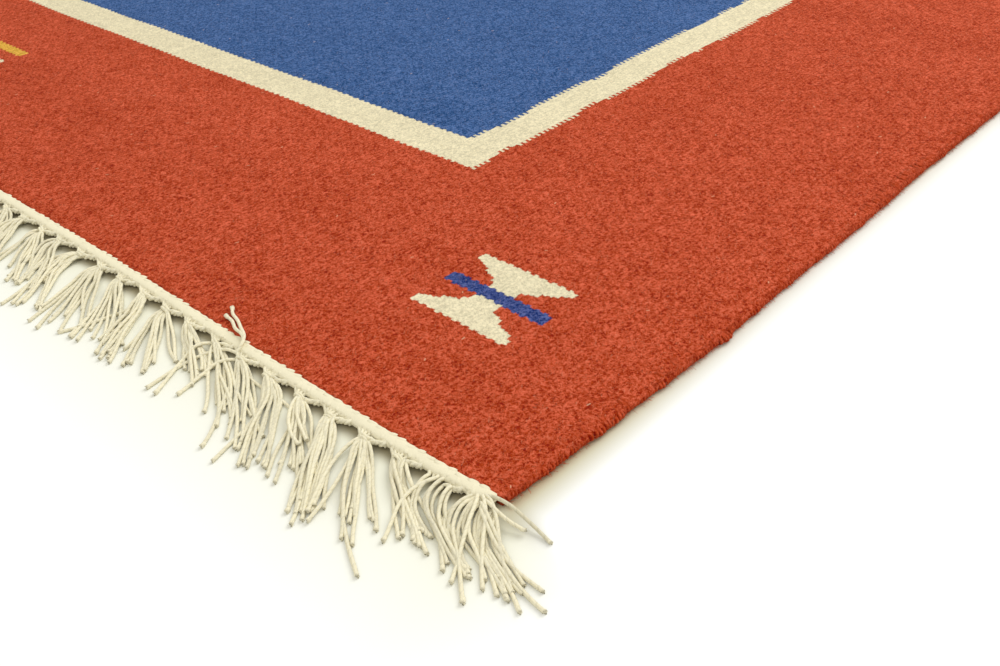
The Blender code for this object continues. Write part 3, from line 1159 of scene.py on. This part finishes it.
# %% [markdown]
# ## Frayed tips
# A cut cotton cord opens at its end into a small soft tuft. One tuft is a short swelling tube with a ragged
# crown, and Geometry Nodes sets a copy on every tip, turned the way that its cord points.

# %% Grow the tips
TUFT_SIDES = 8
TUFT_RINGS = (
    # radius, place along the cord, and how ragged it is there
    (0.00082, -0.0016, 0.0),
    (0.00094, -0.0006, 0.0),
    (0.00104, 0.0007, 0.0006),
    (0.00070, 0.0009, 0.0009),
)


def tuft_shape():
    """A short tuft along +Z that swells from the cord and ends in a ragged crown."""
    chance = random.Random(5)
    rings = []
    for radius, along, ragged in TUFT_RINGS:
        ring = []
        for side in range(TUFT_SIDES):
            around, out = math.tau * side / TUFT_SIDES, radius * chance.uniform(0.85, 1.15)
            height = along + chance.uniform(-1, 1) * ragged
            ring.append((math.cos(around) * out, math.sin(around) * out, height))
        rings.append(ring)
    return grid_mesh("tuft", rings)


def tip_places(cords):
    places, turns = [], []
    for line, _, _ in cords:
        way = Vector(line[-1] - line[-2]).normalized()
        way.z = max(way.z, 0.02)
        places.append(line[-1])
        turns.append(way.to_track_quat("Z", "Y").to_euler())
    return places, turns


cord_tips = set_copies("cord_tips", *tip_places(front + back), tuft_shape(), COTTON_TIP, seed=17,
                       size_change=0.20, turn_change=0.20)

# %% [markdown]
# ## The heading
# Before the warps are knotted, a cotton weft is twined through them to hold the last row of wool. It
# shows as a narrow pale band with a tooth for every pair of warps, biting into the red. The band is a low
# swept strip with a row of slanting stitches sunk in it, and the teeth are a row of their own.

# %% Make the heading
BAND_STEP = 0.006
BAND_PAST = 0.0042
BAND_END = 0.0016
STITCH_ROWS = (
    # out from the end, pitch, turn, half sizes along, across and up, height of the middle
    (0.0001, 0.0060, 0.22, (0.0034, 0.0015, 0.0007), 0.0043),
    (0.0026, 0.0030, -0.75, (0.0034, 0.0016, 0.0008), 0.0040),
)
BAND_SECTION = (
    # out from the end, height
    (-0.0009, 0.0026),
    (-0.0006, 0.0045),
    (0.0006, 0.0048),
    (0.0036, 0.0047),
    (0.0052, 0.0039),
    (0.0058, 0.0027),
    (0.0030, 0.0016),
)


def oval(name, half_sizes):
    """A small egg-shaped stitch."""
    rings = []
    for step in range(1, 5):
        angle = math.pi * step / 5
        wide = math.sin(angle)
        rings.append([(-math.cos(angle) * half_sizes[0], wide * math.cos(a) * half_sizes[1],
                       wide * math.sin(a) * half_sizes[2]) for a in np.linspace(0, math.tau, 7)[:-1]])
    return grid_mesh(name, rings)


def end_spot(x, out, height, side):
    """A place at an end of the rug. side is -1 for the -Y end, and 1 for the +Y end."""
    return Vector((-side * x, side * (half_length(x) + out), height))


def make_band(side, name):
    reach = EVEN_CLOTH_EDGE + BAND_PAST
    middle_out = sum(out for out, _ in BAND_SECTION) / len(BAND_SECTION)
    middle_height = sum(height for _, height in BAND_SECTION) / len(BAND_SECTION)
    rings = []
    for x in (-reach, *np.linspace(BAND_END - reach, reach - BAND_END, int(2 * reach / BAND_STEP)), reach):
        full = 0.4 if abs(x) == reach else 1.0
        rings.append([tuple(end_spot(x, middle_out + (out - middle_out) * full,
                                     middle_height + (height - middle_height) * full, side))
                      for out, height in BAND_SECTION])
    piece = placed(name, grid_mesh(name, rings))
    piece.data.materials.append(COTTON_BAND)
    piece.data.shade_smooth()
    return piece


def make_stitches(side, name):
    """The teeth and the twined stitches of one end, joined into one piece."""
    chance = random.Random(13)
    rows = []
    for number, (out, pitch, turn, half_sizes, height) in enumerate(STITCH_ROWS):
        places, turns = [], []
        count = int(2 * (EVEN_CLOTH_EDGE + 0.002) / pitch)
        for step in range(count):
            x = (step + 0.5 - count / 2) * pitch
            places.append(end_spot(x, out + chance.gauss(0, 0.0003), height, side))
            turns.append((0.0, 0.0, turn if side < 0 else turn + math.pi))
        rows.append(set_copies(f"{name}_{number}", places, turns, oval(f"{name}_stitch", half_sizes),
                               COTTON_BAND, seed=40 + number, size_change=0.12, turn_change=0.12))
    return join(name, rows)


def join(name, parts):
    """One piece from several, by Blender's own join."""
    with bpy.context.temp_override(active_object=parts[0], selected_editable_objects=parts,
                                   object=parts[0], selected_objects=parts):
        bpy.ops.object.join()
    parts[0].name = name
    parts[0].data.name = name
    return parts[0]


heading_front = join("heading_front", [make_stitches(-1, "stitches_front"), make_band(-1, "band_front")])
heading_back = join("heading_back", [make_stitches(1, "stitches_back"), make_band(1, "band_back")])

# %% [markdown]
# ## The knots
# Each bunch is held by a knot of its own cotton: a turn and a bit round the gathered cords. The turn is a
# short coil, swept as the cords are, and set on every knot of each end but the last two, with a little chance
# in its tilt.

# %% Make the knots
COIL_STEPS = 16
COIL_TURNS = 1.6
COIL_HALF_WIDTH, COIL_LENGTH, COIL_HALF_HEIGHT = 0.0029, 0.0020, 0.0017
COIL_RADIUS = 0.0008


def swept_shape(name, line, swell, sizes):
    """The mesh of one swept line, with no object left."""
    made = grow(name, line_mesh(name + "_line", [line], [swell], [1.0]), SWEEP, sizes)
    mesh = made.data
    bpy.data.objects.remove(made)
    return mesh


def knot_shape():
    """A turn and a bit of cord round the Y axis."""
    line = []
    for step in range(COIL_STEPS + 1):
        share = step / COIL_STEPS
        angle = math.tau * COIL_TURNS * share
        line.append((COIL_HALF_WIDTH * math.cos(angle), COIL_LENGTH * (share - 0.5),
                     COIL_HALF_HEIGHT * math.sin(angle)))
    sizes = {"Radius": COIL_RADIUS, "Sides": YARN_SIDES, "Material": COTTON_BAND}
    return swept_shape("knot", np.array(line), np.ones(len(line)), sizes)


def knot_spots(side):
    spots = [end_spot(knot_place(number), KNOT_OUT, KNOT_HEIGHT, side) for number in range(KNOTS - 2)]
    return spots, [(0.0, 0.0, 0.0 if side < 0 else math.pi)] * len(spots)


def both_ends(front, back):
    return front[0] + back[0], front[1] + back[1]


warp_knots = set_copies("warp_knots", *both_ends(knot_spots(-1), knot_spots(1)), knot_shape(), COTTON_CORD,
                        seed=23, size_change=0.10, turn_change=0.30)

# %% [markdown]
# ## Loose wool
# Hand-spun wool is hairy. Short bent hairs stand off the cloth all over, and most of all along the
# selvedges, where they blur the rug's outline. One hair is a bent three-sided wisp. Geometry Nodes sets
# copies at places that a seeded chance picks, each turned and sized its own way.

# %% Scatter the hairs
SELVEDGE_HAIRS = 12000
FIELD_HAIRS = 4800
HAIR_RADIUS = 0.00007
SELVEDGE_HAIR = (0.0022, 0.0006)
FIELD_HAIR = (0.0052, 0.0007)


def hair_shape(length, rise):
    """One bent hair that leaves the cloth along +X and curls to one side."""
    line = np.array([
        (0.0, 0.0, -0.0002),
        (0.5 * length, 0.0, rise),
        (0.95 * length, 0.30 * length, 0.7 * rise),
    ])
    sizes = {"Radius": HAIR_RADIUS, "Sides": 3, "Material": WOOL_YARN}
    return swept_shape("hair", line, np.array([1.0, 1.0, 0.5]), sizes)


def selvedge_hairs(seed):
    """Places round the selvedges' outer side, and the way that each hair leaves."""
    chance = random.Random(seed)
    places, turns = [], []
    for _ in range(SELVEDGE_HAIRS):
        side = chance.choice((1, -1))
        y = chance.uniform(-1, 1) * (RUG_LENGTH / 2 - 0.003)
        round_edge = chance.uniform(-0.5, 1.4)
        x = half_width(side * y) - 0.0012 - 0.0030 * (1 - math.cos(round_edge))
        places.append((side * x, y, 0.0024 + 0.0021 * math.sin(round_edge)))
        heading = chance.uniform(-1.2, 1.2) + (0.0 if side > 0 else math.pi)
        turns.append((0.0, -round_edge * 0.6, heading))
    return places, turns


def field_hairs(seed):
    chance = random.Random(seed)
    places, turns = [], []
    for _ in range(FIELD_HAIRS):
        x = chance.uniform(-1, 1) * (RUG_WIDTH / 2 - 0.008)
        y = chance.uniform(-1, 1) * (RUG_LENGTH / 2 - 0.004)
        places.append((x, y, CLOTH_THICK))
        turns.append((0.0, chance.uniform(-0.2, 0.1), chance.uniform(0, math.tau)))
    return places, turns


selvedge_fuzz = set_copies("selvedge_fuzz", *selvedge_hairs(61), hair_shape(*SELVEDGE_HAIR), WOOL_YARN,
                           seed=5, size_change=0.45, turn_change=0.3)
field_fuzz = set_copies("field_fuzz", *field_hairs(67), hair_shape(*FIELD_HAIR), WOOL_YARN,
                        seed=9, size_change=0.45, turn_change=0.1)

# %% [markdown]
# ## Ride on the body and replace the solids
# Every piece rides on the rug's one body and takes over from the plain solid that it dresses.

# %% Ride on the body and replace the solids
WOOLS = (cloth_sheet, selvedge_turns, selvedge_fuzz, field_fuzz)
COTTONS = (cords_front, cords_back, cord_tips, heading_front, heading_back, warp_knots)
for piece in WOOLS + COTTONS:
    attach(piece, "root")
    "wool_weave" if piece in WOOLS else "cotton_warp"
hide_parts("cloth")
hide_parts("fringe_front")
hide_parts("fringe_back")
list(WOOLS[1:] + COTTONS)

# %% [markdown]
# ## Floor, light and camera
# The rug lies on a white floor. Most of the light is even and a little warm. A large soft lamp behind the
# rug and a weak one before it give the edges and the cords their form. In the picture the floor is greyer
# close to the rug, and dark where it shows through the heading's loops. A render of so thin a thing on so
# bright a floor loses that, so those shades are in the floor's own colour. The camera looks down over the
# rug's near corner.

# %% The floor
FLOOR_WHITE = (0.85, 0.865, 0.87, 1.0)
SHADE_TINT = (0.575, 0.55, 0.415, 1.0)
FRINGE_TINT = (0.74, 0.735, 0.60, 1.0)
SHADE_REACH = (0.012, 0.050, 0.096)
DEEP_SHADE = (0.24, 0.19, 0.09, 1.0)
CONTACT_SHADE = (0.45, 0.36, 0.22, 1.0)
SHADE_FADES = (0.74, 0.96)
FLOOR_HALF = 12.0


def floor_white():
    """White that greys near the rug: a narrow shade beside it, and a wide one under its fringe."""
    material, tree, shader = wool_or_cotton("floor_white", roughness=0.9, sheen=0.0)
    spot = tree.node("ShaderNodeSeparateXYZ", None, {0: tree.put("ShaderNodeTexCoord", output=3)})
    across, along = abs(Wire(tree, spot.outputs[0])), abs(Wire(tree, spot.outputs[1]))
    past_side, past_end = across - RUG_WIDTH / 2, along - RUG_LENGTH / 2
    side_reach = past_end.ease(-0.01, 0.02, SHADE_REACH[0], SHADE_REACH[1])
    beside = past_side.most(0.0) / side_reach
    before = past_end.most(0.0) / SHADE_REACH[2]
    far = (beside * beside + before * before) ** 0.5
    tint = tree.mix(along.ease(*SHADE_FADES, 0.5, 0.0), SHADE_TINT, FLOOR_WHITE)
    tint = tree.mix(past_end.ease(0.0, 0.012), tint, FRINGE_TINT)
    colour = tree.mix(far.least(1.0), tint, FLOOR_WHITE)
    deep = past_end.ease(0.005, 0.014, 1.0, 0.0) * past_side.ease(-0.016, -0.004, 1.0, 0.0)
    contact = past_side.ease(-0.004, 0.0008, 0.8, 0.0) * past_end.ease(-0.004, 0.0, 1.0, 0.0)
    colour = tree.mix(contact, colour, CONTACT_SHADE)
    tree.join(shader.inputs["Base Color"], tree.mix(deep * 0.8, colour, DEEP_SHADE))
    return material


def make_floor():
    corners = [(x * FLOOR_HALF, y * FLOOR_HALF, 0) for x, y in ((-1, -1), (1, -1), (1, 1), (-1, 1))]
    mesh = bpy.data.meshes.new("floor")
    mesh.from_pydata(corners, [], [(0, 1, 2, 3)])
    mesh.materials.append(floor_white())
    return placed("floor", mesh)


make_floor()

# %% The light
WORLD_COLOUR = (1.0, 0.975, 0.905, 1.0)
WORLD_STRENGTH = 0.80

world = bpy.data.worlds.new("studio")
bpy.context.scene.world = world
world.use_nodes = True
background = world.node_tree.nodes["Background"]
background.inputs["Color"].default_value = WORLD_COLOUR
background.inputs["Strength"].default_value = WORLD_STRENGTH


def soft_lamp(name, place, target, size, power):
    lamp = bpy.data.lights.new(name, "AREA")
    lamp.shape = "SQUARE"
    lamp.size = size
    lamp.energy = power
    holder = placed(name, lamp)
    holder.location = place
    holder.rotation_euler = (Vector(target) - Vector(place)).to_track_quat("-Z", "Y").to_euler()


soft_lamp("lamp_far", (0.9, 1.5, 2.3), (0.6, -0.9, 0.0), size=2.2, power=65)
soft_lamp("lamp_near", (1.5, -2.3, 1.9), (0.5, -0.9, 0.0), size=1.6, power=13)

# %% The camera
CAMERA_FROM_CORNER = (0.2133, -0.2108, 0.2954)
CAMERA_PITCH = 35.38
CAMERA_HEADING = 45.10
CAMERA_ROLL = -3.78
LENS = 37.64

camera = placed("camera", bpy.data.cameras.new("camera"))
camera.data.sensor_width = 36.0
camera.data.lens = LENS
camera.data.clip_start = 0.01
looking = (Matrix.Rotation(math.radians(CAMERA_HEADING), 4, "Z")
           @ Matrix.Rotation(math.radians(90 - CAMERA_PITCH), 4, "X")
           @ Matrix.Rotation(math.radians(CAMERA_ROLL), 4, "Z"))
camera.matrix_world = Matrix.Translation(CORNER + Vector(CAMERA_FROM_CORNER)) @ looking
bpy.context.scene.camera = camera
bpy.context.scene.view_settings.view_transform = "Standard"
